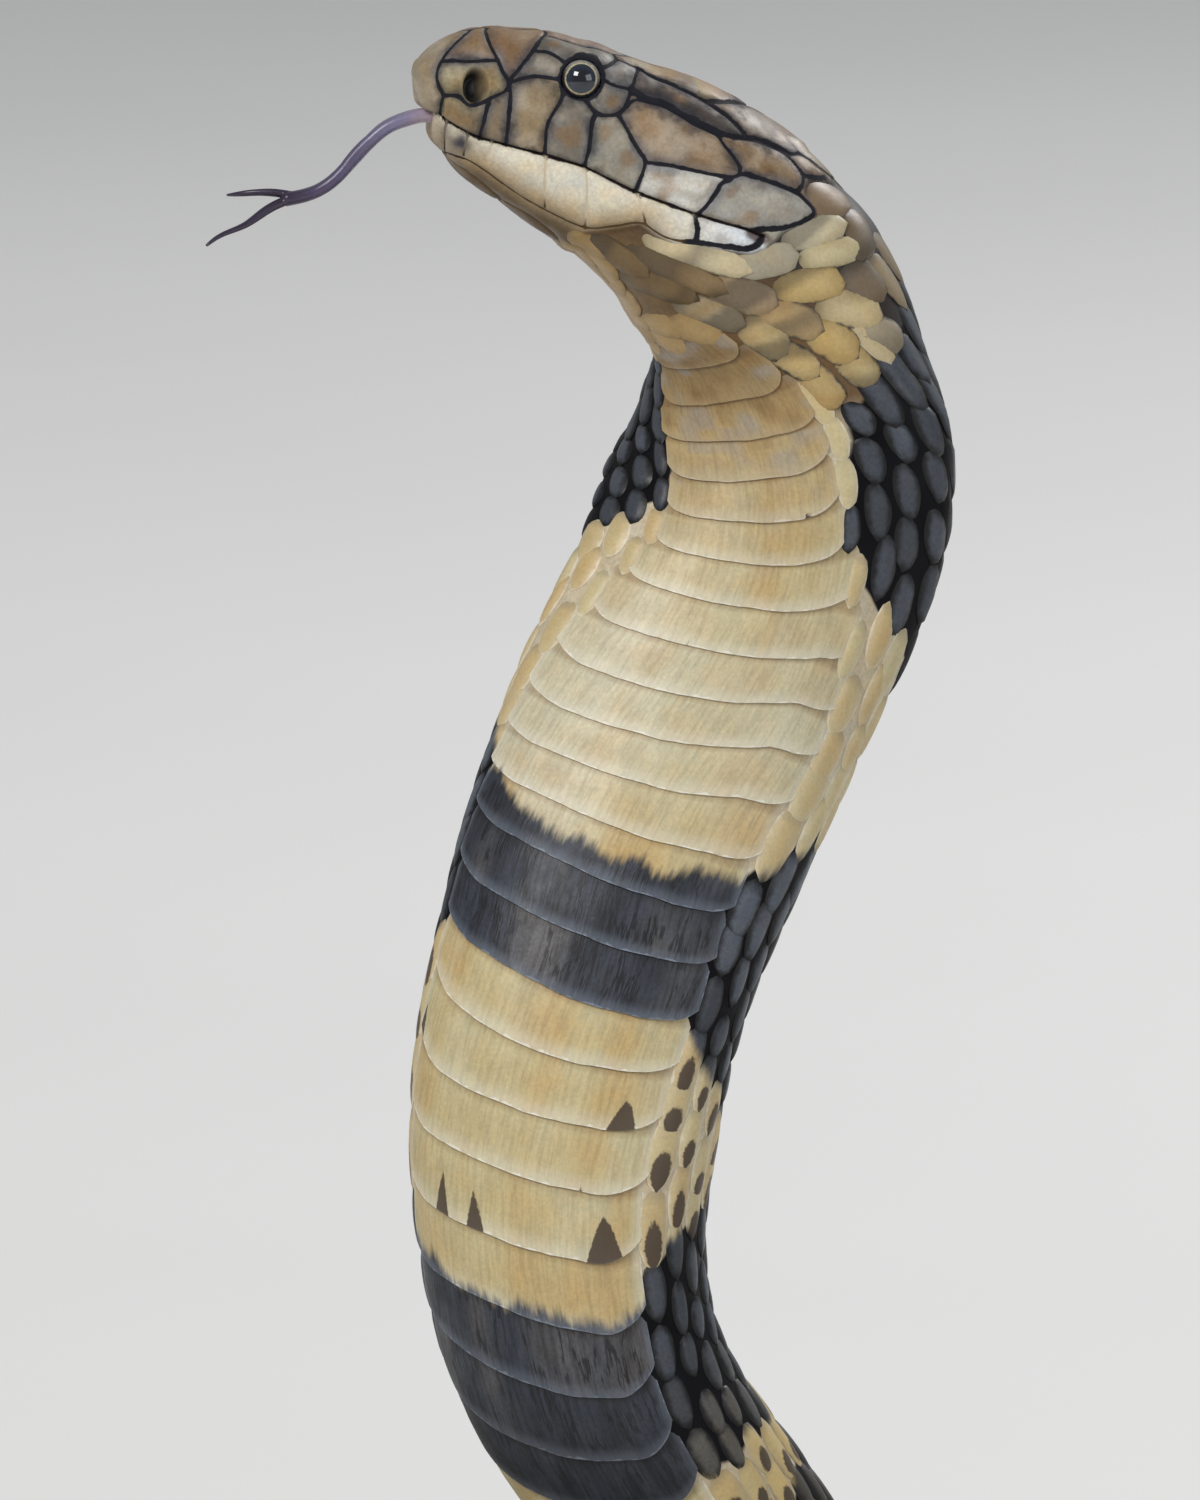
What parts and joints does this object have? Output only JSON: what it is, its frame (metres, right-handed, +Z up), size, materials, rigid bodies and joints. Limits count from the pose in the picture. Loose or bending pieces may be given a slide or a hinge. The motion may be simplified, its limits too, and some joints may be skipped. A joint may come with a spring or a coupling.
{
  "type": "king cobra",
  "caption": "Life-size still king cobra, forebody reared in an S with a narrow hood and the forked tongue out, the rest of the body in a loose coil on the floor.",
  "frame": {"origin": "on the floor, under the middle of the bounding box of the whole animal", "axes": "+Z up; the belly of the reared neck faces -Y and the head points to -X; the coil lies in the XY plane"},
  "size_m": [0.4924, 0.4762, 0.3241],
  "materials": {
    "crown_brown": "satin",
    "lip_cream": "satin",
    "belly_yellow": "satin",
    "back_black": "satin",
    "eye": "glossy",
    "tongue": "moist"
  },
  "bodies": {
    "root": {"head": "crown_brown", "lower_jaw": "lip_cream", "tongue": "tongue", "eye_left": "eye", "eye_right": "eye", "hood": "belly_yellow", "forebody": "belly_yellow", "rise": "back_black", "body_1": "back_black", "body_2": "back_black", "body_3": "back_black", "body_4": "back_black", "body_5": "back_black", "body_6": "back_black", "body_7": "back_black", "body_8": "back_black", "body_9": "back_black", "tail_1": "back_black", "tail_2": "back_black", "tail_3": "back_black"}
  },
  "joints": []
}
